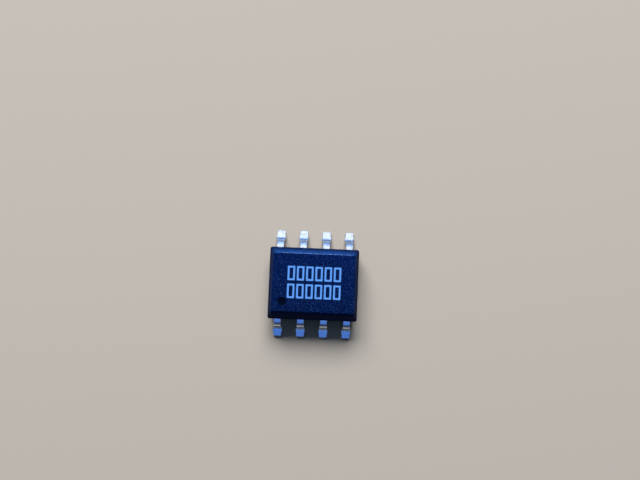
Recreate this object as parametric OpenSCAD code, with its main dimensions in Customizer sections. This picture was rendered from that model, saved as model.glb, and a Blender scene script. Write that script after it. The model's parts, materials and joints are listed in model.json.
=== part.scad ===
// Dual MOSFET in an eight-lead small-outline package with gull-wing leads.
// X runs along the lead rows, Y across them and Z up. The origin is the middle of the seating
// plane, under the soles of the leads. Pins 1 to 4 lie along -Y from left to right, and pins 5 to 8
// along +Y from right to left. All sizes are in millimetres and degrees.

/* [Package body] */
// Length of the moulding along the lead rows
body_length = 4.9; // [4.6:0.05:5.4]
// Width of the moulding between the lead rows
body_width = 3.95; // [3.8:0.05:4.1]
// Height of the top face above the seating plane
package_height = 1.6; // [1.5:0.05:1.9]
// Gap between the seating plane and the underside
standoff = 0.15; // [0.05:0.05:0.25]
// Draft of the upper flanks on the lead sides
side_draft = 27; // [5:1:30]
// Draft of the upper flanks at the two ends
end_draft = 17; // [5:1:25]
// Draft of all lower flanks
lower_draft = 14; // [5:1:25]
// Set-back of the top edge by the bevel along the pin-1 side
pin1_bevel = 0.1; // [0.02:0.01:0.2]
// Slope of that bevel against the top face
pin1_bevel_slope = 35; // [25:1:45]
// Radius of the upright corners at the parting band
corner_radius = 0.12; // [0.05:0.01:0.2]
// Radius of the edges round the top face and the underside
edge_radius = 0.05; // [0.02:0.01:0.1]

/* [Moulded marks] */
// Diameter of the pin-1 dimple
dimple_diameter = 0.44; // [0.3:0.02:0.6]
// Depth of the pin-1 dimple
dimple_depth = 0.06; // [0.03:0.01:0.1]
// Distance of the dimple from the body end at pin 1
dimple_from_end = 0.79; // [0.7:0.01:0.9]
// Distance of the dimple from the body side at pin 1
dimple_from_side = 0.975; // [0.9:0.005:1.1]
// Diameter of the ejector mark on the underside
ejector_diameter = 1; // [0.6:0.1:1.6]
// Depth of the ejector mark
ejector_depth = 0.03; // [0.02:0.01:0.06]

/* [Leads] */
// Spacing of the leads in a row
lead_pitch = 1.27; // [1.2:0.01:1.3]
// Distance over the toes of the two rows
lead_span = 5.9; // [5.8:0.05:6.3]
// Thickness of the lead frame
lead_thickness = 0.2; // [0.15:0.01:0.25]
// Height of the underside of the lead frame above the seating plane
frame_height = 0.7; // [0.6:0.05:0.8]
// Width of a lead where it leaves the body
shoulder_width = 0.37; // [0.3:0.01:0.42]
// Width of a lead at the trimmed stubs by its heel
heel_width = 0.5; // [0.44:0.01:0.55]
// Width of a lead at its toe
toe_width = 0.44; // [0.35:0.01:0.5]
// Radius of the two corners of a toe
toe_radius = 0.06; // [0.02:0.01:0.1]
// Length of the flat sole of a foot
foot_length = 0.38; // [0.3:0.01:0.42]
// Distance of the trimmed stubs from the toe
stub_from_toe = 0.26; // [0.2:0.01:0.3]
// Length of the trimmed stubs
stub_length = 0.17; // [0.1:0.01:0.2]
// Length over which a lead widens from the shoulder to the stubs
flare_length = 0.25; // [0.15:0.01:0.3]
// Slope of the lead between shoulder and foot
lead_slope = 80; // [74:1:85]
// Inside radius of the two bends
bend_radius = 0.1; // [0.05:0.01:0.12]

/* [Lead frame inside the body] */
// Gap between neighbouring posts and pads
frame_gap = 0.26; // [0.2:0.02:0.32]
// Moulding left between the frame and the body ends
end_cover = 0.33; // [0.25:0.01:0.4]
// Moulding left between a post and the body side
side_cover = 0.36; // [0.3:0.02:0.5]
// Depth of the bond posts of leads 1 to 4
post_depth = 0.64; // [0.55:0.01:0.75]
// Moulding left between a die pad and the body side on the drain side
pad_cover = 0.7; // [0.6:0.02:0.8]
// Width of the tie bar that runs from each pad to the body end
tie_bar_width = 0.26; // [0.2:0.02:0.4]
// Radius of the corners of posts and pads
frame_radius = 0.06; // [0.03:0.01:0.1]

/* [Dies] */
// Width of the first die along the lead rows
first_die_width = 1.3; // [1.2:0.05:1.6]
// Length of the first die across the lead rows
first_die_length = 1.4; // [1.2:0.05:1.7]
// Width of the second die along the lead rows
second_die_width = 1.55; // [1.2:0.05:1.65]
// Length of the second die across the lead rows
second_die_length = 1.6; // [1.2:0.05:1.7]
// Thickness of a die
die_thickness = 0.2; // [0.1:0.01:0.25]
// Thickness of the layer that fixes a die to its pad
attach_thickness = 0.03; // [0.02:0.005:0.06]
// Width of that layer showing round the die
attach_margin = 0.05; // [0.02:0.01:0.1]

/* [Bond wires] */
// Diameter of a source wire
source_wire_diameter = 0.1; // [0.05:0.01:0.13]
// Diameter of a gate wire
gate_wire_diameter = 0.06; // [0.04:0.01:0.1]
// Spacing of the source wires on the post and on the die
source_wire_pitch = 0.22; // [0.2:0.01:0.24]
// Length of the flattened foot at each end of a wire
bond_length = 0.15; // [0.1:0.01:0.2]
// Rise of a wire over the die
loop_rise = 0.18; // [0.1:0.01:0.22]
// Distance of the gate wire's end from the right and front edges of its die
gate_bond_inset = 0.22; // [0.18:0.01:0.3]
// Distance of the first source wire's end from the left edge of its die
source_bond_left = 0.26; // [0.2:0.01:0.4]
// Distance of the source wires' ends from the front edge of their die
source_bond_front = 0.52; // [0.4:0.01:0.8]

/* [Hidden] */

$fn = 48;
leads_per_row = 4;
source_wires = 3;
// Largest turn between two points of a rounded corner
arc_step = 10;

frame_top = frame_height + lead_thickness;
frame_limit = body_length / 2 - end_cover;
attach_top = frame_top + attach_thickness;
die_top = attach_top + die_thickness;

// Posts and pads, by their distance from the middle of the body
post_outer = body_width / 2 - side_cover;
post_inner = post_outer - post_depth;
pad_near = -(post_inner - frame_gap);
pad_far = body_width / 2 - pad_cover;
pad_middle = [(frame_limit + frame_gap / 2) / 2, (pad_near + pad_far) / 2];

// Each die in turn: its side of the body, its size and its place
die_side = [-1, 1];
die_size = [[first_die_width, first_die_length], [second_die_width, second_die_length]];
function die_place(i) = [die_side[i] * pad_middle[0], pad_middle[1]];

function lead_x(i) = (i - (leads_per_row - 1) / 2) * lead_pitch;

// A corner of an outline, replaced by an arc of the given radius
function corner_arc(before, corner, after, radius) =
  let (
    u = (before - corner) / norm(before - corner),
    v = (after - corner) / norm(after - corner),
    half = acos(u * v) / 2,
    centre = corner + (u + v) / norm(u + v) * radius / sin(half),
    spoke = corner + u * radius / tan(half) - centre,
    turn = (180 - 2 * half) * sign(u[1] * v[0] - u[0] * v[1]),
    steps = ceil(abs(turn) / arc_step)
  )
  [
    for (k = [0:steps])
      let (a = turn * k / steps)
        centre + [spoke[0] * cos(a) - spoke[1] * sin(a), spoke[0] * sin(a) + spoke[1] * cos(a)]
  ];

// An outline whose corners have the given radii, with 0 for a sharp corner
function rounded(points, radii) =
  let (n = len(points))
  [
    for (i = [0:n - 1])
      each radii[i] == 0 ? [points[i]]
      : corner_arc(points[(i + n - 1) % n], points[i], points[(i + 1) % n], radii[i])
  ];

module rounded_rectangle(low, high, radius) {
  polygon(rounded([low, [high[0], low[1]], high, [low[0], high[1]]], [for (k = [1:4]) radius]));
}

// Sweeps an outline drawn in Y and Z along the whole length of X
module along_x(length) {
  rotate([90, 0, 90]) linear_extrude(length, center = true) children();
}

// Sweeps an outline drawn in X and Z along the whole width of Y
module along_y(length) {
  rotate([90, 0, 0]) linear_extrude(length, center = true) children();
}

// Section of the moulding: two drafted halves that meet at a band as thick as the lead frame.
// A set-back above 0 cuts the upper left edge with a bevel.
function mould_section(half, draft, set_back) =
  let (
    top = half - (package_height - frame_top) * tan(draft),
    base = half - (frame_height - standoff) * tan(lower_draft),
    fall = tan(pin1_bevel_slope),
    drop = set_back * fall / (1 - tan(draft) * fall),
    left_edge = set_back > 0
      ? [[set_back - top, package_height], [-top - drop * tan(draft), package_height - drop]]
      : [[-top, package_height]],
    points = concat(
      [[-base, standoff], [base, standoff], [half, frame_height], [half, frame_top], [top, package_height]],
      left_edge,
      [[-half, frame_top], [-half, frame_height]]
    )
  )
  rounded(
    points,
    [for (p = points) p[1] == frame_height || p[1] == frame_top ? 0 : edge_radius]
  );

module mould_outside() {
  difference() {
    intersection() {
      along_x(body_length) polygon(mould_section(body_width / 2, side_draft, pin1_bevel));
      along_y(body_width) polygon(mould_section(body_length / 2, end_draft, 0));
      linear_extrude(package_height)
        rounded_rectangle([-body_length, -body_width] / 2, [body_length, body_width] / 2, corner_radius);
    }
    translate([-body_length / 2 + dimple_from_end, -body_width / 2 + dimple_from_side,
               package_height - dimple_depth])
      cylinder(d = dimple_diameter, h = 2 * dimple_depth);
    translate([0, 0, standoff - ejector_depth])
      cylinder(d = ejector_diameter, h = 2 * ejector_depth);
  }
}

// Side view of a formed strip on the drain side, from its inner end to the toe
module gull_section(inner_end) {
  toe = lead_span / 2;
  bend_middle = bend_radius + lead_thickness / 2;
  heel = toe - foot_length - bend_middle * tan(lead_slope / 2);
  shoulder = heel - frame_height / tan(lead_slope);
  shift = lead_thickness / 2 * tan(lead_slope / 2);
  outer = bend_radius + lead_thickness;
  polygon(rounded(
    [
      [inner_end, frame_height], [shoulder - shift, frame_height], [heel - shift, 0], [toe, 0],
      [toe, lead_thickness], [heel + shift, lead_thickness], [shoulder + shift, frame_top],
      [inner_end, frame_top]
    ],
    [0, bend_radius, outer, 0, 0, bend_radius, outer, 0]
  ));
}

// Plan of one lead on the drain side: narrow shoulder, flare down the slope, stubs and toe
module lead_plan(inner_end) {
  toe = lead_span / 2;
  stub_end = toe - stub_from_toe;
  stub_start = stub_end - stub_length;
  step = (heel_width - toe_width) / 2;
  right = [
    [shoulder_width / 2, inner_end], [shoulder_width / 2, stub_start - flare_length],
    [heel_width / 2, stub_start], [heel_width / 2, stub_end], [toe_width / 2, stub_end + step],
    [toe_width / 2, toe]
  ];
  n = len(right);
  left = [for (k = [n - 1:-1:0]) [-right[k][0], right[k][1]]];
  polygon(rounded(
    concat(right, left),
    [for (k = [0:2 * n - 1]) k == n - 1 || k == n ? toe_radius : 0]
  ));
}

// Gives a flat pattern its bends: the pattern seen from above, cut out of the formed strip
module formed(inner_end) {
  intersection() {
    along_x(body_length) gull_section(inner_end);
    translate([0, 0, -lead_thickness]) linear_extrude(package_height) children();
  }
}

// Leads 1 to 4, each with a bond post as wide as its share of the row
function post_left(i) = max(-frame_limit, lead_x(i) - (lead_pitch - frame_gap) / 2);
function post_right(i) = min(frame_limit, lead_x(i) + (lead_pitch - frame_gap) / 2);
function post_middle(i) = [post_left(i) + post_right(i), -post_inner - post_outer] / 2;

module post_lead(i) {
  color("#c3ccd8")
    mirror([0, 1, 0])
      formed(post_inner) {
        translate([lead_x(i), 0]) lead_plan((post_inner + post_outer) / 2);
        rounded_rectangle([post_left(i), post_inner], [post_right(i), post_outer], frame_radius);
      }
}

// Die pad with its two drain leads and the tie bar that held it in the strip
module drain_frame(i) {
  color("#c3ccd8")
    formed(pad_near)
      mirror([die_side[i] < 0 ? 1 : 0, 0]) {
        for (k = [leads_per_row / 2:leads_per_row - 1])
          translate([lead_x(k), 0]) lead_plan(pad_middle[1]);
        rounded_rectangle([frame_gap / 2, pad_near], [frame_limit, pad_far], frame_radius);
        translate([pad_middle[0], pad_middle[1] - tie_bar_width / 2])
          square([body_length / 2 - pad_middle[0], tie_bar_width]);
      }
}

module slab(place, size, bottom, top) {
  translate([place[0] - size[0] / 2, place[1] - size[1] / 2, bottom])
    cube([size[0], size[1], top - bottom]);
}

module die_attach(i) {
  margin = [attach_margin, attach_margin];
  color("#8d8a80") slab(die_place(i), die_size[i] + 2 * margin, frame_top, attach_top);
}

module die(i) {
  color("#59606e") slab(die_place(i), die_size[i], attach_top, die_top);
}

// Bond wires are swept octagons: a flattened foot, a loop over the die edge and another foot
wire_sides = 8;
loop_rings = 9;
foot_flatness = 0.7;
foot_spread = 1.25;
loop_lean = [0.12, 0.7];

function octagon_point(k) =
  let (a = (k + 0.5) * 360 / wire_sides) [cos(a), sin(a)] / cos(180 / wire_sides);

function bezier(p, t) =
  p[0] * (1 - t)^3 + p[1] * 3 * t * (1 - t)^2 + p[2] * 3 * t^2 * (1 - t) + p[3] * t^3;

// Middle line of a wire as distance along it and height: start, loop and end
function wire_route(length, diameter) =
  let (
    foot = foot_flatness * diameter / 2,
    run = length - 2 * bond_length,
    // The loop itself climbs three quarters of the way to its two control points
    crest = die_top + loop_rise / 0.75,
    loop = [
      [bond_length, die_top + foot],
      [bond_length + loop_lean[0] * run, crest],
      [bond_length + loop_lean[1] * run, crest],
      [length - bond_length, frame_top + foot]
    ]
  )
  concat(
    [[0, die_top + foot]],
    [for (k = [0:loop_rings]) bezier(loop, k / loop_rings)],
    [[length, frame_top + foot]]
  );

// Direction of a route at one of its points, level at both feet
function route_heading(route, k) =
  let (
    last = len(route) - 1,
    step = route[min(k + 1, last)] - route[max(k - 1, 0)]
  )
  k <= 1 || k >= last - 1 ? [1, 0] : step / norm(step);

module bond_wire(start, end, diameter) {
  length = norm(end - start);
  way = (end - start) / length;
  route = wire_route(length, diameter);
  rings = len(route);
  points = [
    for (k = [0:rings - 1])
      let (
        at_foot = k <= 1 || k >= rings - 2,
        heading = route_heading(route, k),
        width = diameter / 2 * (at_foot ? foot_spread : 1),
        height = diameter / 2 * (at_foot ? foot_flatness : 1)
      )
      for (j = [0:wire_sides - 1])
        let (
          o = octagon_point(j),
          along = route[k][0] - heading[1] * height * o[1],
          aside = width * o[0],
          up = route[k][1] + heading[0] * height * o[1]
        )
        [
          start[0] + way[0] * along - way[1] * aside,
          start[1] + way[1] * along + way[0] * aside,
          up
        ]
  ];
  faces = concat(
    [[for (j = [0:wire_sides - 1]) j]],
    [
      for (k = [0:rings - 2])
        for (j = [0:wire_sides - 1])
          let (a = k * wire_sides + j, b = k * wire_sides + (j + 1) % wire_sides)
            [a, a + wire_sides, b + wire_sides, b]
    ],
    [[for (j = [wire_sides - 1:-1:0]) (rings - 1) * wire_sides + j]]
  );
  color("#d8dce2") polyhedron(points, faces, convexity = 4);
}

// Corner of a die that its bonds are measured from: the lower left, nearest its source lead
function die_corner(i) = die_place(i) - die_size[i] / 2;

module source_wire(i, k) {
  start = die_corner(i) + [source_bond_left + k * source_wire_pitch, source_bond_front];
  end = post_middle(2 * i) + [(k - (source_wires - 1) / 2) * source_wire_pitch, 0];
  bond_wire(start, end, source_wire_diameter);
}

module gate_wire(i) {
  start = die_corner(i) + [die_size[i][0] - gate_bond_inset, gate_bond_inset];
  bond_wire(start, post_middle(2 * i + 1), gate_wire_diameter);
}

// The compound fills every space round the lead frame, the dies and the wires
module package_body() {
  color("#10182c")
    difference() {
      mould_outside();
      for (i = [0:leads_per_row - 1]) post_lead(i);
      for (i = [0, 1]) {
        drain_frame(i);
        die_attach(i);
        die(i);
        for (k = [0:source_wires - 1]) source_wire(i, k);
        gate_wire(i);
      }
    }
}

package_body();
post_lead(0);  // source_lead_1
post_lead(1);  // gate_lead_2
post_lead(2);  // source_lead_3
post_lead(3);  // gate_lead_4
drain_frame(0);  // drain_frame_7_8
drain_frame(1);  // drain_frame_5_6
die(0);  // die_1
die(1);  // die_2
die_attach(0);  // die_attach_1
die_attach(1);  // die_attach_2
source_wire(0, 0);  // source_wire_1a
source_wire(0, 1);  // source_wire_1b
source_wire(0, 2);  // source_wire_1c
source_wire(1, 0);  // source_wire_2a
source_wire(1, 1);  // source_wire_2b
source_wire(1, 2);  // source_wire_2c
gate_wire(0);  // gate_wire_1
gate_wire(1);  // gate_wire_2
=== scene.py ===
# %% [markdown]
# # A dual MOSFET in an eight-lead moulded package
#
# The part is about 6 mm across: a dark epoxy block with four tinned leads on each long side, bent like
# gull wings so that their feet lie flat on a board. The solids come packed from the CAD model. This
# lesson dresses them: it rebuilds the pieces that show with softer edges, gives each one a finish, and
# sets the light and the camera of the photograph.

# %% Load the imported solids
import json
import math

import bmesh
import bpy
from mathutils import Matrix, Vector

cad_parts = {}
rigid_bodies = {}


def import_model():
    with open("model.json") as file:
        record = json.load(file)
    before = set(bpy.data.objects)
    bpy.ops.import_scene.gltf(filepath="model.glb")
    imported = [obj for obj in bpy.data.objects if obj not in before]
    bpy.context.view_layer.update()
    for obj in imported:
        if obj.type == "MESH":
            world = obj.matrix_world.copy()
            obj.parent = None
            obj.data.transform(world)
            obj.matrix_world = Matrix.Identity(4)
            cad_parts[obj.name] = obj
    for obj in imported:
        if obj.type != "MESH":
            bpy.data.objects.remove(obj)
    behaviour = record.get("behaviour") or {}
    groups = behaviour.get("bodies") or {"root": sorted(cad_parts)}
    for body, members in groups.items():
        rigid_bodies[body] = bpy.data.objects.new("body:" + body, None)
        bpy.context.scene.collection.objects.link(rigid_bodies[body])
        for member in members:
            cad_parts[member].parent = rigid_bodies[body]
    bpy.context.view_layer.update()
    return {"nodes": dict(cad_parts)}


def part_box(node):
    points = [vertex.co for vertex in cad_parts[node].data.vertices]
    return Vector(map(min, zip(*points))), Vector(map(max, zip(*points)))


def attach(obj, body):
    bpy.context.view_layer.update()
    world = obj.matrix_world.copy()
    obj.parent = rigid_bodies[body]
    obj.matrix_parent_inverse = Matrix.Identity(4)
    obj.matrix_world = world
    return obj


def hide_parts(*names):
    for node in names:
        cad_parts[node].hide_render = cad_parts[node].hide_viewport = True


for leftover in list(bpy.data.objects):
    bpy.data.objects.remove(leftover)
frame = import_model()
nodes = frame["nodes"]
scene = bpy.context.scene
print("solids:", len(nodes))

# %% [markdown]
# ## Units
#
# Blender works in metres, and a radius of 0.02 mm is then 0.00002. Merging and beveling are easier to
# follow in millimetres, so every piece is modelled in millimetres and made small once, at the end. The
# outer sizes are read from the solids, so that each piece lands where its solid is.

# %% Millimetres, and the sizes read from the solids
MM = 0.001


def box_mm(solid):
    low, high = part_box(solid)
    return low / MM, high / MM


body_low, body_high = box_mm("package_body")
toe = box_mm("drain_frame_5_6")[1].y
frame_top = box_mm("die_attach_1")[0].z
print("moulding from", [round(c, 3) for c in body_low], "to", [round(c, 3) for c in body_high])
print("toes at", round(toe, 3), "mm, top of the lead frame at", round(frame_top, 3), "mm")

# %% [markdown]
# ## Colours and nodes
#
# Colours are written as sRGB hex values, as one reads them off a picture. Shaders want linear light, so
# one function does the change. A second small function adds a node with its settings and links, and a
# third starts a material. A Mix node takes its two colours at inputs 6 and 7, and gives the mixed one at
# output 2.


# %% Three helpers for materials
def linear(hex_code):
    channels = [int(hex_code[i:i + 2], 16) / 255 for i in (1, 3, 5)]
    return (*[c / 12.92 if c <= 0.04045 else ((c + 0.055) / 1.055) ** 2.4 for c in channels], 1.0)


def node(tree, kind, links=None, **settings):
    """Adds a node. Settings are its properties, or its input sockets where a name starts with in_."""
    made = tree.nodes.new(kind)
    for name, value in settings.items():
        if not name.startswith("in_"):
            setattr(made, name, value)
    for name, value in settings.items():
        if name.startswith("in_"):
            key = name[3:].replace("_", " ")
            made.inputs[int(key) if key.isdigit() else key].default_value = value
    for key, source in (links or {}).items():
        tree.links.new(source, made.inputs[key])
    return made


def new_material(name):
    material = bpy.data.materials.new(name)
    material.use_nodes = True
    tree = material.node_tree
    tree.nodes.clear()
    shader = tree.nodes.new("ShaderNodeBsdfPrincipled")
    output = tree.nodes.new("ShaderNodeOutputMaterial")
    tree.links.new(shader.outputs["BSDF"], output.inputs["Surface"])
    return material, tree, shader


print("a mid grey, #808080, is", round(linear("#808080")[0], 3), "in linear light")

# %% [markdown]
# ## Putting a piece into the scene
#
# Each piece ends the same way: its millimetres become metres, its normals point out, flat faces stay
# flat beside their rounded edges, and it rides on the one rigid body. Faces that meet at less than 40
# degrees shade as one surface, and weighted normals let the big flat faces win at a bevel.

# %% One function that finishes a piece
merge_within = 1e-5
smooth_below = math.radians(40)


def finish_piece(name, bm, finish, stands_for=None):
    bmesh.ops.remove_doubles(bm, verts=bm.verts, dist=merge_within)
    bmesh.ops.recalc_face_normals(bm, faces=bm.faces)
    if bm.calc_volume(signed=True) < 0:
        bmesh.ops.reverse_faces(bm, faces=bm.faces)
    mesh = bpy.data.meshes.new(name)
    bm.to_mesh(mesh)
    bm.free()
    mesh.shade_smooth()
    mesh.set_sharp_from_angle(angle=smooth_below)
    piece = bpy.data.objects.new(name, mesh)
    scene.collection.objects.link(piece)
    weighted = piece.modifiers.new("flat faces win", "WEIGHTED_NORMAL")
    weighted.keep_sharp = True
    shaded = piece.evaluated_get(bpy.context.evaluated_depsgraph_get())
    piece.data = bpy.data.meshes.new_from_object(shaded)
    piece.modifiers.clear()
    bpy.data.meshes.remove(mesh)
    mesh = piece.data
    mesh.name = name
    mesh.transform(Matrix.Scale(MM, 4))
    mesh.materials.append(finish)
    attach(piece, "root")
    if stands_for:
        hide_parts(stands_for)
    print(name, "has", len(mesh.polygons), "faces")


# %% [markdown]
# A few small moves shape all that follows: a face is drawn out, edges are picked by how they lie or how
# sharp they are, and the picked edges are rounded.


# %% Drawing out, picking and rounding
def only(geom, kind):
    return [part for part in geom if isinstance(part, kind)]


def push(bm, face, way):
    """Draws a face out along a straight way and returns the face at the new end."""
    made = bmesh.ops.extrude_face_region(bm, geom=[face])["geom"]
    bmesh.ops.delete(bm, geom=[face], context="FACES_ONLY")
    bmesh.ops.translate(bm, vec=way, verts=only(made, bmesh.types.BMVert))
    return only(made, bmesh.types.BMFace)[0]


def upright_edges(edges, height):
    """The edges that rise by more than half of a height."""
    return [e for e in edges if abs(e.verts[0].co.z - e.verts[1].co.z) > height / 2]


def sharp_edges(bm, degrees, keep):
    """The edges at which the surface turns by more than an angle, where keep allows both ends."""
    return [
        e for e in bm.edges
        if e.calc_face_angle(0) > math.radians(degrees) and all(keep(v.co) for v in e.verts)
    ]


def round_edges(bm, edges, width, segments):
    bmesh.ops.bevel(
        bm, geom=edges, offset=width, offset_type="OFFSET", affect="EDGES", segments=segments,
        profile=0.5, material=-1, clamp_overlap=True,
    )


# %% [markdown]
# ## The moulding
#
# Epoxy is pressed into a two-part mould that closes on the lead frame. The band between the two halves
# is upright and as thick as the frame, and the walls above and below it lean in so that the block comes
# out of the mould. A tapered box could be typed in corner by corner, but then its rounded corners would
# be typed in too. So a cube makes the band, its upright edges are rounded, and each half is a face of it
# drawn out and scaled down.

# %% Sizes of the moulding, as in the CAD model
lead_thickness = 0.2
band_low, band_high = frame_top - lead_thickness, frame_top
side_draft, end_draft, lower_draft = (math.tan(math.radians(a)) for a in (27, 17, 14))
corner_radius = 0.12
edge_radius = 0.05
bevel_set_back, bevel_slope = 0.1, math.radians(35)
# The upper half of the mould is a hair smaller, which leaves the parting line as a ledge
parting_ledge = 0.008
print("parting band from", round(band_low, 3), "to", round(band_high, 3), "mm")


def draw_half(bm, face, rise, set_back):
    """Draws a wall out of a face by rise and leans it in by the two set-backs."""
    end = push(bm, face, (0, 0, rise))
    size = Vector((max(v.co.x for v in end.verts), max(v.co.y for v in end.verts)))
    shrink = ((size.x - set_back[0]) / size.x, (size.y - set_back[1]) / size.y, 1)
    bmesh.ops.scale(bm, vec=shrink, verts=end.verts)
    return end


# %% The block, from the band outwards
block = bmesh.new()
size = (body_high.x - body_low.x, body_high.y - body_low.y, band_high - band_low)
middle = Matrix.Translation((0, 0, (band_low + band_high) / 2))
bmesh.ops.create_cube(block, size=1, matrix=middle @ Matrix.Diagonal((*size, 1)))
round_edges(block, upright_edges(block.edges, lead_thickness), corner_radius, 6)

upper = max(block.faces, key=lambda f: f.calc_center_median().z)
upper = draw_half(block, upper, 0, (parting_ledge, parting_ledge))
rise = body_high.z - band_high
upper = draw_half(block, upper, rise, (rise * end_draft - parting_ledge, rise * side_draft - parting_ledge))
lower = min(block.faces, key=lambda f: f.calc_center_median().z)
drop = band_low - body_low.z
draw_half(block, lower, -drop, (drop * lower_draft, drop * lower_draft))
top_half_width = max(v.co.y for v in upper.verts)
print("top face", [round(2 * max(v.co[i] for v in upper.verts), 3) for i in (0, 1)], "mm")

# %% [markdown]
# The edge of the top face on the side of pin 1 has a shallow bevel, one of the usual ways to mark that
# side. A plane cuts the block there, and the open cut is filled. Then all edges round the top face and
# the underside get the small radius that the mould leaves.

# %% The bevel on the pin-1 side
on_plane = 1e-6
cut = bmesh.ops.bisect_plane(
    block, geom=[*block.verts, *block.edges, *block.faces], dist=on_plane,
    plane_co=(0, bevel_set_back - top_half_width, body_high.z),
    plane_no=(0, -math.sin(bevel_slope), math.cos(bevel_slope)), clear_outer=True,
)
bmesh.ops.contextual_create(block, geom=only(cut["geom_cut"], bmesh.types.BMEdge))
# Edges at least this far from the band belong to the top face or to the underside
off_band = 0.1
round_edges(block, sharp_edges(block, 20, lambda co: co.z > band_high + off_band), edge_radius, 4)
round_edges(block, sharp_edges(block, 20, lambda co: co.z < band_low - off_band), edge_radius, 3)
print("moulding so far:", len(block.faces), "faces")

# %% [markdown]
# Two round marks come from pins in the mould: the dimple by pin 1, and an ejector mark in the middle of
# the underside. A boolean would cut them, but it leaves ragged faces round the hole. So the flat face is
# opened, a circle is drawn in it, the rest is filled again, and the circle is drawn down and closed with
# a floor.


# %% The dimple and the ejector mark
def sink_mark(bm, face, centre, radius, depth, rim_radius):
    """Sinks a round mark into a flat face, with its rim and its foot rounded."""
    z = face.calc_center_median().z
    inward = -math.copysign(depth, face.normal.z)
    outline = list(face.edges)
    bmesh.ops.delete(bm, geom=[face], context="FACES_ONLY")
    circle = bmesh.ops.create_circle(
        bm, segments=64, radius=radius, matrix=Matrix.Translation((*centre, z)))["verts"]
    ring = [e for e in bm.edges if e.verts[0] in circle and e.verts[1] in circle]
    bmesh.ops.triangle_fill(bm, edges=outline + ring, use_beauty=True)
    wall = bmesh.ops.extrude_edge_only(bm, edges=ring)["geom"]
    foot = only(wall, bmesh.types.BMVert)
    foot_ring = [e for e in only(wall, bmesh.types.BMEdge) if all(v in foot for v in e.verts)]
    bmesh.ops.translate(bm, vec=(0, 0, inward), verts=foot)
    bmesh.ops.contextual_create(bm, geom=foot_ring)
    bmesh.ops.recalc_face_normals(bm, faces=bm.faces)
    round_edges(bm, ring + foot_ring, rim_radius, 3)


dimple = Vector((-1.66, -1.0))
dimple_radius, dimple_depth, dimple_rim = 0.22, 0.06, 0.02
ejector_radius, ejector_depth, ejector_rim = 0.5, 0.03, 0.01
top_face = max(block.faces, key=lambda f: (round(f.calc_center_median().z, 4), f.calc_area()))
sink_mark(block, top_face, dimple, dimple_radius, dimple_depth, dimple_rim)
under_face = min(block.faces, key=lambda f: (round(f.calc_center_median().z, 4), -f.calc_area()))
sink_mark(block, under_face, (0, 0), ejector_radius, ejector_depth, ejector_rim)
print("moulding with its marks:", len(block.faces), "faces")

# %% [markdown]
# ## The leads
#
# A lead frame is stamped from copper strip 0.2 mm thick and tinned, and after moulding its leads are bent
# down and out. A curve with a flat section could follow the bends, but its width could not change along
# the way. So each piece starts as the flat plate inside the moulding, cut by planes where a lead or a tie
# bar leaves it. The lead is then drawn out of the edge of the plate as the press forms it: straight, a
# bend, the slope, a bend back, and the flat foot.

# %% Sizes of a lead, as in the CAD model
shoulder_width, heel_width, toe_width = 0.37, 0.5, 0.44
foot_length, bend_radius, slope = 0.38, 0.1, math.radians(80)
stub_from_toe, stub_length, flare_length = 0.26, 0.17, 0.25
toe_radius = 0.06

stub_end = toe - stub_from_toe
stub_start = stub_end - stub_length
stub_step = (heel_width - toe_width) / 2
flare_start = stub_start - flare_length
heel_y = toe - foot_length
bend_middle = bend_radius + lead_thickness / 2
fall = band_low - 2 * bend_middle * (1 - math.cos(slope))
shoulder_y = heel_y - 2 * bend_middle * math.sin(slope) - fall / math.tan(slope)
print("shoulder ends at", round(shoulder_y, 4), "mm, foot starts at", round(heel_y, 4), "mm")


def lead_width(y):
    """Width of a lead in plan: narrow shoulder, flare down the slope, trimmed stubs, toe."""
    if y <= flare_start:
        return shoulder_width
    if y <= stub_start:
        return shoulder_width + (heel_width - shoulder_width) * (y - flare_start) / flare_length
    return heel_width - 2 * min(max(y - stub_end, 0), stub_step)


# %% [markdown]
# A pressed lead isn't as even as its drawing. The forming punch leaves the foot thinner at the toe and
# pulls the shoulder down a little, so the tops of both lean out by 6 degrees. Its edges are rolled, and
# one toe has lost a corner. All this is finer than the CAD model goes, but it is what catches the light.
# A bump could fake it, but bright metal shows its true outline, so the mesh itself is pressed.

# %% What the press leaves on a lead
toe_press, shoulder_drop = 0.04, 0.014
edge_roll = 0.012
cut_radius = 0.13
# The lead has its own width from here, just inside the moulding
root_y = body_high.y - 0.1
print("foot", round(lead_thickness - toe_press, 3), "mm thick at the toe")

# %% Drawing a lead out of its plate
# What lies this close to a place counts as at it, and a face whose normal reaches this far faces that way
near, facing = 0.01, 0.9


def plate_edge(bm, way, across, at):
    """The outermost face towards one axis, at a place along another. Axes are 0 for X and 1 for Y."""
    return max(
        (f for f in bm.faces if abs(f.calc_center_median()[across] - at) < near and f.normal[way] > facing),
        key=lambda f: f.calc_center_median()[way],
    )


def fold(bm, face, centre, angle):
    """Bends the strip that ends in a face and returns the face at the new end."""
    made = bmesh.ops.spin(
        bm, geom=[face], cent=centre, axis=(1, 0, 0), angle=angle, steps=12, use_merge=False)["geom_last"]
    bmesh.ops.delete(bm, geom=[face], context="FACES_ONLY")
    return only(made, bmesh.types.BMFace)[0]


def draw_strip(bm, x):
    """Draws the strip of a lead at x out of the plate towards +Y and returns the face at its toe."""
    face = plate_edge(bm, 1, 0, x)
    for stop in (root_y, body_high.y, shoulder_y):
        face = push(bm, face, (0, stop - face.calc_center_median().y, 0))
    face = fold(bm, face, (x, shoulder_y, band_low - bend_radius), -slope)
    face = push(bm, face, (0, fall / math.tan(slope), -fall))
    face = fold(bm, face, (x, heel_y, lead_thickness + bend_radius), slope)
    for stop in (stub_end, stub_end + stub_step, toe):
        face = push(bm, face, (0, stop - face.calc_center_median().y, 0))
    return face


# %% Trimming and pressing a lead
def on_lead(co, x):
    return co.y > root_y - near and abs(co.x - x) < heel_width


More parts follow.
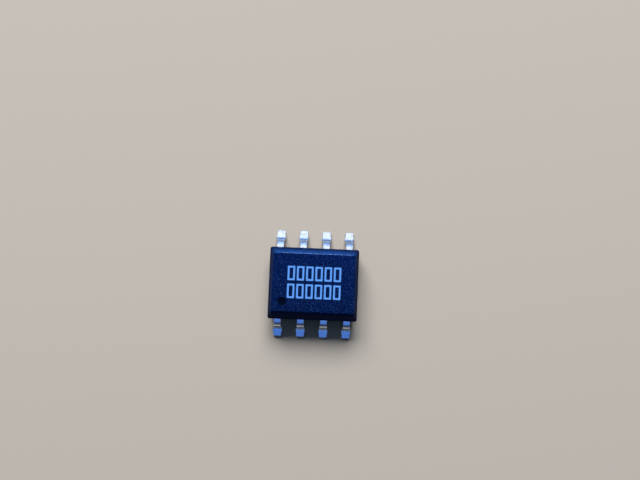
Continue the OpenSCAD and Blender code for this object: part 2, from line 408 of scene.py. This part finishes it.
def press_lead(bm, x):
    """Gives a strip the widths of a lead, its thinned toe and its lowered shoulder."""
    for v in bm.verts:
        if not on_lead(v.co, x):
            continue
        v.co.x = x + math.copysign(lead_width(v.co.y) / 2, v.co.x - x)
        out = min(max(v.co.y - body_high.y, 0) / (shoulder_y - body_high.y), 1)
        if v.co.y > heel_y and v.co.z > lead_thickness / 2:
            v.co.z -= toe_press * (v.co.y - heel_y) / foot_length
        elif v.co.y <= heel_y:
            v.co.z -= shoulder_drop * out * v.co.z / band_high
    bm.normal_update()


def draw_lead(bm, x, cut_corner=None):
    """Makes a whole lead at x. A cut corner is given by its side, -1 or 1."""
    toe_face = draw_strip(bm, x)
    press_lead(bm, x)
    for edge in upright_edges(toe_face.edges, lead_thickness):
        side = math.copysign(1, edge.verts[0].co.x - x)
        round_edges(bm, [edge], cut_radius if side == cut_corner else toe_radius, 5)
    bm.normal_update()
    round_edges(bm, sharp_edges(bm, 50, lambda co: on_lead(co, x)), edge_roll, 3)


# %% [markdown]
# The plates hold the dies and the bond posts. They are inside the moulding, but they are part of the
# same stamping, so each piece is made whole: a plate, the planes that mark where its leads and its tie
# bar leave, and then the leads. A piece for the pin-1 side is drawn towards +Y and mirrored.

# %% Sizes of the plates, as in the CAD model
lead_pitch = 1.27
frame_gap = 0.26
end_cover, side_cover, pad_cover = 0.33, 0.36, 0.7
post_depth = 0.64
plate_end = body_high.x - end_cover
post_y = (body_high.y - side_cover - post_depth, body_high.y - side_cover)
pad_y = (frame_gap - post_y[0], body_high.y - pad_cover)
plate_radius = 0.02
# A tie bar is sheared off after moulding, and its end stays a hair proud
tie_bar_width, tie_bar_proud = 0.26, 0.006
print("posts from", [round(y, 3) for y in post_y], "and pads from", [round(y, 3) for y in pad_y], "mm")


def cut_at(bm, point, normal):
    bmesh.ops.bisect_plane(
        bm, geom=[*bm.verts, *bm.edges, *bm.faces], dist=on_plane, plane_co=point, plane_no=normal)


# %% One function for a stamping
def stamp(name, plate_x, plate_y, leads, stands_for, tie_bar=False, mirror=(1, 1), cut_corner=None):
    """One stamping: a plate, its leads at the given x towards +Y, and a tie bar towards +X."""
    bm = bmesh.new()
    low, high = Vector((plate_x[0], plate_y[0], band_low)), Vector((plate_x[1], plate_y[1], band_high))
    place = Matrix.Translation((low + high) / 2) @ Matrix.Diagonal((*(high - low), 1))
    bmesh.ops.create_cube(bm, size=1, matrix=place)
    round_edges(bm, upright_edges(bm.edges, lead_thickness), plate_radius, 4)
    for x in leads:
        for side in (-1, 1):
            cut_at(bm, (x + side * shoulder_width / 2, 0, 0), (1, 0, 0))
    if tie_bar:
        middle = sum(plate_y) / 2
        for side in (-1, 1):
            cut_at(bm, (0, middle + side * tie_bar_width / 2, 0), (0, 1, 0))
        push(bm, plate_edge(bm, 0, 1, middle), (body_high.x + tie_bar_proud - plate_x[1], 0, 0))
    for x in leads:
        draw_lead(bm, x, cut_corner if x == leads[-1] else None)
    bmesh.ops.scale(bm, vec=(*mirror, 1), verts=bm.verts)
    finish_piece(name, bm, tinned_copper, stands_for)


# %% [markdown]
# ## Finish: moulded epoxy
#
# Moulding compound is epoxy filled with silica and carbon black, and in this light it looks navy. The
# top of the mould is spark-eroded, which leaves the top face matt, with the filler showing as faint
# specks. The leaning walls carry painted light: they are painted paler towards the top edge, most on the
# drain side, which faces the soft box, and the rim there carries pale flecks of painted highlight. The
# top face is painted a little lighter towards the drain side as well. The polished pin that makes the
# dimple leaves a glossy floor, and painted shade makes it darker. Each of these could be a material of
# its own, on its own faces. But they run into each other, and height and place are enough to tell them
# apart, so one material does.

# %% Height on the block
epoxy, tree, shader = new_material("epoxy_moulding_compound")
shader.inputs["IOR"].default_value = 1.55
# The eroded skin scatters nearly all of the gloss
shader.inputs["Specular IOR Level"].default_value = 0.02
place = node(tree, "ShaderNodeTexCoord").outputs["Object"]
axes = node(tree, "ShaderNodeSeparateXYZ", {"Vector": place}).outputs
# The top's finish ends partway round its rounded edge, and the walls' painted light starts a little
# above the parting line
top_edge = body_high.z - 0.6 * edge_radius
wall_light_start = band_high + 0.1
on_top = node(
    tree, "ShaderNodeMapRange", {"Value": axes["Z"]}, interpolation_type="SMOOTHSTEP",
    in_From_Min=top_edge * MM, in_From_Max=body_high.z * MM,
).outputs["Result"]
off_top = node(tree, "ShaderNodeMath", {1: on_top}, operation="SUBTRACT", in_0=1.0).outputs[0]
up_wall = node(
    tree, "ShaderNodeMapRange", {"Value": axes["Z"]},
    in_From_Min=wall_light_start * MM, in_From_Max=top_edge * MM,
).outputs["Result"]
# A painted light gradient: the top face is painted a little lighter towards the drain side, where the light
# comes from
across_top = node(
    tree, "ShaderNodeMapRange", {"Value": axes["Y"]},
    in_From_Min=-top_half_width * MM, in_From_Max=top_half_width * MM,
).outputs["Result"]
# Prints where the walls' painted light starts, and where the top's finish starts
print("rubbing from", round(wall_light_start, 3), "mm up, top finish from", round(top_edge, 3), "mm up")

# %% [markdown]
# The walls get painted light where the soft box falls on them: most on the drain side, apart from its
# corners, a little on the ends, and none on the pin-1 side, which lies in shade. A painted mask could
# say where, but it would need an image. So ramps along X, Y and Z are multiplied, and a noise breaks the
# result into patches. The rim is the strip with the most painted light, and it carries the painted
# highlight.

# %% Where the walls get painted light
end_share = 0.3
ends_lit_from, drains_lit_from = -0.6 * top_half_width, 0.9 * top_half_width
corner_fade = (0.12, 0.45)
rim_starts, rim_is_full = 0.88, 0.96
at_ends = node(
    tree, "ShaderNodeMapRange", {"Value": axes["Y"]}, interpolation_type="SMOOTHSTEP",
    in_From_Min=-top_half_width * MM, in_From_Max=ends_lit_from * MM, in_To_Max=end_share,
).outputs["Result"]
at_drains = node(
    tree, "ShaderNodeMapRange", {"Value": axes["Y"]}, interpolation_type="SMOOTHSTEP",
    in_From_Min=drains_lit_from * MM, in_From_Max=top_half_width * MM, in_To_Max=1 - end_share,
).outputs["Result"]
from_middle = node(tree, "ShaderNodeMath", {0: axes["X"]}, operation="ABSOLUTE").outputs[0]
off_corners = node(
    tree, "ShaderNodeMapRange", {"Value": from_middle}, interpolation_type="SMOOTHSTEP",
    in_From_Min=(body_high.x - corner_fade[0]) * MM, in_From_Max=(body_high.x - corner_fade[1]) * MM,
).outputs["Result"]
painted_wall_light = node(
    tree, "ShaderNodeMath", {0: at_drains, 1: off_corners, 2: at_ends}, operation="MULTIPLY_ADD").outputs[0]
painted_wall_light = node(tree, "ShaderNodeMath", {0: up_wall, 1: painted_wall_light}, operation="MULTIPLY").outputs[0]
on_rim = node(
    tree, "ShaderNodeMapRange", {"Value": painted_wall_light}, in_From_Min=rim_starts, in_From_Max=rim_is_full,
).outputs["Result"]
on_rim = node(tree, "ShaderNodeMath", {0: on_rim, 1: off_top}, operation="MULTIPLY").outputs[0]
# The ends get this share of the painted light that the drain side gets
print("rubbing at the ends:", end_share, "of that on the drain side")

# %% Patches in the painted light on the walls
# A patch of painted light is up to a third weaker or a third stronger
patch_width = 0.3
patches = node(
    tree, "ShaderNodeTexNoise", {"Vector": place}, in_Scale=1 / (patch_width * MM), in_Detail=3.0,
).outputs["Fac"]
patches = node(
    tree, "ShaderNodeMapRange", {"Value": patches},
    in_From_Min=0.3, in_From_Max=0.7, in_To_Min=0.65, in_To_Max=1.35,
).outputs["Result"]
painted_wall_light = node(tree, "ShaderNodeMath", {0: painted_wall_light, 1: patches}, operation="MULTIPLY").outputs[0]
# Prints the width of a patch of painted light on the walls
print("rubbed patches", patch_width, "mm wide")

# %% [markdown]
# The floor of the dimple is found by its distance from the dimple's middle, measured level. The underside
# lies within that distance too, so the height has a say as well.

# %% In the dimple
dark_within, plain_beyond = dimple_radius - dimple_rim, dimple_radius + 0.03
offset = node(
    tree, "ShaderNodeVectorMath", {0: place}, operation="SUBTRACT", in_1=(*(dimple * MM), 0)).outputs[0]
level = node(tree, "ShaderNodeVectorMath", {0: offset}, operation="MULTIPLY", in_1=(1, 1, 0)).outputs[0]
from_dimple = node(tree, "ShaderNodeVectorMath", {0: level}, operation="LENGTH").outputs["Value"]
in_dimple = node(
    tree, "ShaderNodeMapRange", {"Value": from_dimple}, interpolation_type="SMOOTHSTEP",
    in_From_Min=plain_beyond * MM, in_From_Max=dark_within * MM,
).outputs["Result"]
near_top = node(
    tree, "ShaderNodeMath", {0: axes["Z"]}, operation="GREATER_THAN",
    in_1=(body_high.z - 2 * dimple_depth) * MM,
).outputs[0]
in_dimple = node(tree, "ShaderNodeMath", {0: in_dimple, 1: near_top}, operation="MULTIPLY").outputs[0]
print("dimple dark within", round(dark_within, 3), "mm of", [round(c, 3) for c in dimple])

# %% [markdown]
# Now the colours can go where the finishes are: wall and top first, with their painted light, then the
# painted highlight flecks on the rim, the clouds and the filler, and the painted shade of the dimple
# last. Filler grains are 0.05 mm and less, and are drawn here from 0.07 mm downwards so that they show.
# The clouds come from compound that flowed unevenly.

# %% Colours of the epoxy
speck_width, cloud_width = 0.07, 0.9
specks = node(
    tree, "ShaderNodeTexNoise", {"Vector": place}, in_Scale=1 / (speck_width * MM), in_Detail=5.0,
    in_Roughness=0.85,
).outputs["Fac"]
clouds = node(
    tree, "ShaderNodeTexNoise", {"Vector": place}, in_Scale=1 / (cloud_width * MM), in_Detail=2.0,
).outputs["Fac"]
# Walls are dark, and painted paler where their painted light is strongest
wall = node(
    tree, "ShaderNodeMix", {"Factor": painted_wall_light}, data_type="RGBA",
    in_6=linear("#07173f"), in_7=linear("#19478a"))
# The top face, painted a little lighter towards the drain side
top = node(
    tree, "ShaderNodeMix", {"Factor": across_top}, data_type="RGBA",
    in_6=linear("#011544"), in_7=linear("#011a54"))
base = node(
    tree, "ShaderNodeMix", {"Factor": on_top, 6: wall.outputs[2], 7: top.outputs[2]}, data_type="RGBA")
# Painted highlight: pale flecks along the rim of the drain side
rim_highlight_flecks = node(
    tree, "ShaderNodeMapRange", {"Value": specks},
    in_From_Min=0.51, in_From_Max=0.6, in_To_Max=0.9,
).outputs["Result"]
rim_highlight_flecks = node(tree, "ShaderNodeMath", {0: rim_highlight_flecks, 1: on_rim}, operation="MULTIPLY").outputs[0]
base = node(
    tree, "ShaderNodeMix", {"Factor": rim_highlight_flecks, 6: base.outputs[2]}, data_type="RGBA", in_7=linear("#9dc2f4"))
print("specks from", speck_width, "mm downwards, clouds", cloud_width, "mm wide")

# %% Clouds and filler over the colours
# The filler shows fully on the eroded top and by a third on the walls
filler_shows = node(
    tree, "ShaderNodeMapRange", {"Value": on_top}, in_To_Min=0.35, in_To_Max=1.0).outputs["Result"]
for pattern, least, most, share, tint in (
        (clouds, 0.3, 0.7, 0.2, "#050f28"),
        (specks, 0.54, 0.66, 0.85, "#3f66ac"),
        (specks, 0.5, 0.34, 0.85, "#010512")):
    amount = node(
        tree, "ShaderNodeMapRange", {"Value": pattern}, in_From_Min=least, in_From_Max=most, in_To_Max=share)
    amount = node(
        tree, "ShaderNodeMath", {0: amount.outputs["Result"], 1: filler_shows}, operation="MULTIPLY")
    base = node(
        tree, "ShaderNodeMix", {"Factor": amount.outputs[0], 6: base.outputs[2]}, data_type="RGBA",
        in_7=linear(tint))
# Painted shade: the dimple's floor is painted darker, for the shade of the recess and the haze that its
# polished floor lacks
base = node(
    tree, "ShaderNodeMix", {"Factor": in_dimple, 6: base.outputs[2]}, data_type="RGBA",
    in_7=linear("#040b22"))
tree.links.new(base.outputs[2], shader.inputs["Base Color"])
print("epoxy colours made with", len(tree.nodes), "nodes")

# %% Gloss and grain of the epoxy
rough = node(
    tree, "ShaderNodeMapRange", {"Value": on_top}, in_To_Min=0.6, in_To_Max=0.5).outputs["Result"]
rough = node(
    tree, "ShaderNodeMix", {"Factor": in_dimple, "A": rough}, data_type="FLOAT", in_B=0.3).outputs["Result"]
tree.links.new(rough, shader.inputs["Roughness"])
# Spark erosion leaves a grain that is a few micrometres deep
grain_width, grain_depth = 0.03, 0.004
grain = node(
    tree, "ShaderNodeTexNoise", {"Vector": place}, in_Scale=1 / (grain_width * MM), in_Detail=3.0,
).outputs["Fac"]
relief = node(
    tree, "ShaderNodeBump", {"Height": grain}, in_Strength=0.35, in_Distance=grain_depth * MM,
).outputs["Normal"]
tree.links.new(relief, shader.inputs["Normal"])
print(epoxy.name, "has", len(tree.nodes), "nodes")

# %% [markdown]
# ## Finish: tinned copper
#
# The strip is copper with a satin tin plating, so the leads are a soft, slightly uneven silver. They are
# cut free after plating, and the cut ends of toes and tie bars show copper with some tin smeared over it.
# The cut faces could carry a second material, but how far out a point lies tells them apart as well.

# %% Satin tin
tinned_copper, tree, shader = new_material("satin_tin_on_copper")
shader.inputs["Metallic"].default_value = 1.0
place = node(tree, "ShaderNodeTexCoord").outputs["Object"]
# Tin crystals are a few micrometres wide, and are drawn coarser here so that they show
crystal_width, crystal_depth = 0.02, 0.002
plating_cloud_width = 0.15
crystals = node(
    tree, "ShaderNodeTexNoise", {"Vector": place}, in_Scale=1 / (crystal_width * MM), in_Detail=2.0,
).outputs["Fac"]
clouds = node(
    tree, "ShaderNodeTexNoise", {"Vector": place}, in_Scale=1 / (plating_cloud_width * MM), in_Detail=3.0,
).outputs["Fac"]
tin = node(
    tree, "ShaderNodeMix", {"Factor": clouds}, data_type="RGBA",
    in_6=linear("#c2cbd9"), in_7=linear("#dde3ec"))
rough = node(
    tree, "ShaderNodeMapRange", {"Value": clouds},
    in_From_Min=0.3, in_From_Max=0.7, in_To_Min=0.26, in_To_Max=0.34,
).outputs["Result"]
tree.links.new(rough, shader.inputs["Roughness"])
relief = node(
    tree, "ShaderNodeBump", {"Height": crystals}, in_Strength=0.3, in_Distance=crystal_depth * MM,
).outputs["Normal"]
tree.links.new(relief, shader.inputs["Normal"])
print("tin crystals", crystal_width, "mm wide, plating clouds", plating_cloud_width, "mm")

# %% Copper on the cut ends
cut_depth = 0.004
axes = node(tree, "ShaderNodeSeparateXYZ", {"Vector": place}).outputs
cut_ends = []
for axis, reach in (("X", body_high.x + tie_bar_proud), ("Y", toe)):
    far_out = node(tree, "ShaderNodeMath", {0: axes[axis]}, operation="ABSOLUTE").outputs[0]
    at_cut = node(
        tree, "ShaderNodeMath", {0: far_out}, operation="GREATER_THAN", in_1=(reach - cut_depth) * MM)
    cut_ends.append(at_cut.outputs[0])
cut_faces = node(tree, "ShaderNodeMath", dict(enumerate(cut_ends)), operation="MAXIMUM").outputs[0]
# The same clouds say where the copper is bare, and where tin is smeared over it
bare = node(
    tree, "ShaderNodeMapRange", {"Value": clouds}, in_From_Min=0.42, in_From_Max=0.56).outputs["Result"]
bare = node(tree, "ShaderNodeMath", {0: cut_faces, 1: bare}, operation="MULTIPLY").outputs[0]
metal = node(
    tree, "ShaderNodeMix", {"Factor": bare, 6: tin.outputs[2]}, data_type="RGBA", in_7=linear("#bf8464"))
tree.links.new(metal.outputs[2], shader.inputs["Base Color"])
print(tinned_copper.name, "has", len(tree.nodes), "nodes")

# %% [markdown]
# With both finishes at hand, the six stampings and the moulding go into the scene, each in the place of
# its solid.

# %% The six stampings and the moulding
outer, inner = 1.5 * lead_pitch, 0.5 * lead_pitch
half_post = (lead_pitch - frame_gap) / 2
pad_x = (frame_gap / 2, plate_end)
post_plates = {inner: (inner - half_post, inner + half_post), outer: (outer - half_post, plate_end)}
stamp("drain_strip_5_6", pad_x, pad_y, (inner, outer), "drain_frame_5_6", tie_bar=True)
stamp(
    "drain_strip_7_8", pad_x, pad_y, (inner, outer), "drain_frame_7_8", tie_bar=True,
    mirror=(-1, 1), cut_corner=1)
stamp("source_strip_1", post_plates[outer], post_y, (outer,), "source_lead_1", mirror=(-1, -1))
stamp("gate_strip_2", post_plates[inner], post_y, (inner,), "gate_lead_2", mirror=(-1, -1))
stamp("source_strip_3", post_plates[inner], post_y, (inner,), "source_lead_3", mirror=(1, -1))
stamp("gate_strip_4", post_plates[outer], post_y, (outer,), "gate_lead_4", mirror=(1, -1))
finish_piece("moulded_block", block, epoxy, "package_body")

# %% [markdown]
# ## The print
#
# The top face carries a coat of light blue ink. A texture could paint it, but ink has an edge and a
# thickness, so it is a mesh: two rows of plain upright frames. Each frame is one face of a grid, inset by
# the width of a stroke, opened in the middle and drawn up by the thickness of the coat.

# %% Marking ink
ink, tree, shader = new_material("marking_ink")
place = node(tree, "ShaderNodeTexCoord").outputs["Object"]
# Ink takes unevenly on the matt top face
ink_patch_width = 0.05
patches = node(
    tree, "ShaderNodeTexNoise", {"Vector": place}, in_Scale=1 / (ink_patch_width * MM), in_Detail=2.0,
).outputs["Fac"]
coat = node(
    tree, "ShaderNodeMix", {"Factor": patches}, data_type="RGBA",
    in_6=linear("#4f98f6"), in_7=linear("#78b4ff"))
tree.links.new(coat.outputs[2], shader.inputs["Base Color"])
rough = node(
    tree, "ShaderNodeMapRange", {"Value": patches}, in_To_Min=0.45, in_To_Max=0.7).outputs["Result"]
tree.links.new(rough, shader.inputs["Roughness"])
print(ink.name, "has", len(tree.nodes), "nodes")

# %% Two rows of six frames
print_middle = Vector((0.03, 0.07))
row_count, column_count = 2, 6
cell, cell_pitch, row_pitch = Vector((0.4, 0.78)), 0.5, 0.965
stroke, stroke_round = 0.1, 0.035
ink_height, ink_sunk = 0.006, 0.002
rows = bmesh.new()
for row in range(row_count):
    for column in range(column_count):
        step = Vector((column - (column_count - 1) / 2, (row_count - 1) / 2 - row))
        centre = print_middle + step * Vector((cell_pitch, row_pitch))
        place = Matrix.Translation((*centre, body_high.z - ink_sunk)) @ Matrix.Diagonal((*(cell / 2), 1, 1))
        bmesh.ops.create_grid(rows, x_segments=1, y_segments=1, size=1, matrix=place)
windows = list(rows.faces)
bmesh.ops.inset_individual(rows, faces=windows, thickness=stroke, use_even_offset=True)
bmesh.ops.delete(rows, geom=windows, context="FACES_ONLY")
made = bmesh.ops.extrude_face_region(rows, geom=list(rows.faces))["geom"]
bmesh.ops.translate(rows, vec=(0, 0, ink_height + ink_sunk), verts=only(made, bmesh.types.BMVert))
round_edges(rows, upright_edges(rows.edges, ink_height), stroke_round, 4)
finish_piece("print_rows", rows, ink)

# %% [markdown]
# ## Inside the moulding
#
# The dies, their solder and the bond wires can't be seen from outside. They could be rebuilt too, but
# their solids have the right shape. So they stay as they are, with finishes of their own for anyone who
# cuts the block open: silicon is a dark, blue-grey half mirror, solder is dull and spotted, and drawn
# aluminium wire is bright and satin.

# %% Silicon, solder and aluminium wire
# Each finish has the solids that it is on, two colours, the width of a spot in mm, metallic and roughness
inside = {
    "silicon_die": ("die_1 die_2", "#3a4252", "#566072", 0.05, 0.3, 0.3),
    "die_attach_solder": ("die_attach_1 die_attach_2", "#7d7a72", "#9a978c", 0.04, 1.0, 0.55),
    "aluminium_bond_wire": (
        "source_wire_1a source_wire_1b source_wire_1c source_wire_2a source_wire_2b source_wire_2c"
        " gate_wire_1 gate_wire_2", "#c9ccd2", "#e2e4e8", 0.03, 1.0, 0.3),
}
for name, (owners, dark, light, spot_mm, metallic, roughness) in inside.items():
    finish, tree, shader = new_material(name)
    shader.inputs["Metallic"].default_value = metallic
    shader.inputs["Roughness"].default_value = roughness
    place = node(tree, "ShaderNodeTexCoord").outputs["Object"]
    spots = node(
        tree, "ShaderNodeTexNoise", {"Vector": place}, in_Scale=1 / (spot_mm * MM), in_Detail=2.0)
    colour = node(
        tree, "ShaderNodeMix", {"Factor": spots.outputs["Fac"]}, data_type="RGBA",
        in_6=linear(dark), in_7=linear(light))
    tree.links.new(colour.outputs[2], shader.inputs["Base Color"])
    for owner in owners.split():
        nodes[owner].data.materials.clear()
        nodes[owner].data.materials.append(finish)
    print(name, "on", owners)

# %% [markdown]
# ## Floor and light
#
# The floor is plain and pale. In the photograph the light comes over the drain side: the feet there
# shine, and the feet on the pin-1 side lie in the shadow of the block and mirror only the cool light from
# above. One lamp could do all this, but its glare would hide the form of the bends. So the work is
# shared: a wide soft box lights the matt surfaces and throws the shadow, and three panels are there for
# the metal to mirror. A dim one stands in for the soft box, a small one higher up is what the shining
# feet mirror, and a cool one stands over the pin-1 side. A dim, cool surround fills the shadows.
#
# Far from the part the floor fades into a pale backdrop, so that views from the side have no dark
# horizon. The metal mirrors this backdrop too, as a low card all round.

# %% Floor
floor_reach = 0.5
floor_mesh = bpy.data.meshes.new("floor")
floor_bm = bmesh.new()
bmesh.ops.create_grid(floor_bm, x_segments=1, y_segments=1, size=floor_reach)
floor_bm.to_mesh(floor_mesh)
floor_bm.free()
floor = bpy.data.objects.new("floor", floor_mesh)
# A micrometre below the soles, so that the two don't share a plane
floor.location.z = -0.001 * MM
scene.collection.objects.link(floor)
paper, tree, shader = new_material("pale_floor")
shader.inputs["Base Color"].default_value = linear("#d0c5b6")
shader.inputs["Roughness"].default_value = 0.9
shader.inputs["Specular IOR Level"].default_value = 0.1
floor_mesh.materials.append(paper)
print("floor", 2 * floor_reach, "m wide")

# %% The floor's fade into the backdrop
# The fade starts well outside the photograph's view. Rays that light a surface still find the plain floor
fade_start, fade_end = 30.0, 110.0
backdrop_colour = linear("#c4bcb3")
place = node(tree, "ShaderNodeTexCoord").outputs["Object"]
away = node(tree, "ShaderNodeVectorMath", {0: place}, operation="LENGTH").outputs["Value"]
away = node(
    tree, "ShaderNodeMapRange", {"Value": away}, interpolation_type="SMOOTHSTEP",
    in_From_Min=fade_start * MM, in_From_Max=fade_end * MM,
).outputs["Result"]
rays = node(tree, "ShaderNodeLightPath").outputs
seen = rays["Is Camera Ray"]
for kind in ("Is Glossy Ray", "Is Transmission Ray"):
    seen = node(tree, "ShaderNodeMath", {0: seen, 1: rays[kind]}, operation="MAXIMUM").outputs[0]
away = node(tree, "ShaderNodeMath", {0: away, 1: seen}, operation="MULTIPLY").outputs[0]
glow = node(tree, "ShaderNodeEmission", in_Color=backdrop_colour, in_Strength=1.0).outputs[0]
faded = node(tree, "ShaderNodeMixShader", {0: away, 1: shader.outputs[0], 2: glow}).outputs[0]
tree.links.new(faded, tree.nodes["Material Output"].inputs["Surface"])
print("floor fades from", fade_start, "to", fade_end, "mm")


# %% Soft box and three panels
def panel(name, way, distance, width, height, energy, colour):
    """An area lamp that faces the origin, with its width level. Sizes are in metres, energy in watts."""
    lamp = bpy.data.lights.new(name, "AREA")
    lamp.shape = "RECTANGLE"
    lamp.size, lamp.size_y = width, height
    lamp.energy = energy
    lamp.color = linear(colour)[:3]
    holder = bpy.data.objects.new(name, lamp)
    holder.location = way.normalized() * distance
    holder.rotation_euler = way.to_track_quat("Z", "Y").to_euler()
    scene.collection.objects.link(holder)
    return holder


def way_up(elevation, lean):
    """The way to a lamp over the drain side: its height in degrees, and its lean towards +X."""
    level = math.cos(math.radians(elevation))
    return Vector((lean * level, level, math.sin(math.radians(elevation))))


soft_box = panel("soft_box", way_up(37, -0.14), 0.4, 0.34, 0.17, 2.65, "#f6f9ff")
soft_box.visible_glossy = False
mirrored_panels = (
    panel("dim_panel", way_up(41, -0.08), 0.38, 0.114, 0.176, 0.26, "#8abaff"),
    panel("upper_panel", way_up(75, 0), 0.4, 0.16, 0.085, 0.14, "#f2f8ff"),
    panel("cool_panel", way_up(102, 0), 0.4, 0.2, 0.2, 0.105, "#4a90ff"),
)
for holder in mirrored_panels:
    holder.visible_diffuse = False

# %% Surround and backdrop
scene.world = bpy.data.worlds.new("cool_surround")
scene.world.use_nodes = True
tree = scene.world.node_tree
tree.nodes.clear()
# In mirrors the backdrop is a card, whose upper edge fades between these two heights in degrees
card_edge = [math.sin(math.radians(height)) for height in (4, 9)]
way = node(tree, "ShaderNodeTexCoord").outputs["Generated"]
height = node(tree, "ShaderNodeSeparateXYZ", {"Vector": way}).outputs["Z"]
card = node(
    tree, "ShaderNodeMapRange", {"Value": height}, interpolation_type="SMOOTHSTEP",
    in_From_Min=card_edge[0], in_From_Max=card_edge[1], in_To_Min=1.0, in_To_Max=0.0,
).outputs["Result"]
rays = node(tree, "ShaderNodeLightPath").outputs
mirrored = node(
    tree, "ShaderNodeMath", {0: rays["Is Glossy Ray"], 1: rays["Is Transmission Ray"]}, operation="MAXIMUM")
mirrored = node(tree, "ShaderNodeMath", {0: mirrored.outputs[0], 1: card}, operation="MULTIPLY").outputs[0]
seen = node(tree, "ShaderNodeMath", {0: mirrored, 1: rays["Is Camera Ray"]}, operation="MAXIMUM").outputs[0]
surround = node(tree, "ShaderNodeBackground", in_Color=linear("#8fb0e0"), in_Strength=0.12).outputs[0]
backdrop = node(tree, "ShaderNodeBackground", in_Color=backdrop_colour, in_Strength=1.0).outputs[0]
sky = node(tree, "ShaderNodeMixShader", {0: seen, 1: surround, 2: backdrop}).outputs[0]
node(tree, "ShaderNodeOutputWorld", {"Surface": sky})
print(scene.world.name, "has", len(tree.nodes), "nodes")

# %% [markdown]
# ## Camera
#
# The photograph looks straight down on the part, which lies below the middle of the picture and is turned
# by a little over 2 degrees. A shifted lens could put it there, but a shift stays when the camera moves
# to other views. So the camera stands over the part and aims at the spot on the floor that is in the
# middle of the picture. Its lens follows from its height and the scale of the photograph.

# %% Camera
camera_height = 42.0
pixels_per_mm = 17.76
image_size = Vector((640, 480))
part_pixel = Vector((313.47, 284.1))
roll = math.radians(2.37)
camera = bpy.data.cameras.new("camera")
camera.sensor_width = 36
camera.lens = pixels_per_mm * camera_height * camera.sensor_width / image_size.x
camera.clip_start, camera.clip_end = 0.001, 2.0
to_middle = (image_size / 2 - part_pixel) / pixels_per_mm
right = Vector((math.cos(roll), math.sin(roll), 0))
up_way = Vector((-math.sin(roll), math.cos(roll), 0))
eye = Vector((0, 0, camera_height))
forward = (right * to_middle.x - up_way * to_middle.y - eye).normalized()
side = forward.cross(up_way).normalized()
camera_object = bpy.data.objects.new("camera", camera)
camera_object.location = eye * MM
camera_object.rotation_euler = Matrix((side, side.cross(forward), -forward)).transposed().to_euler()
scene.collection.objects.link(camera_object)
scene.camera = camera_object
scene.view_settings.view_transform = "Standard"
print("camera", camera_height, "mm up, with a lens of", round(camera.lens, 1), "mm")
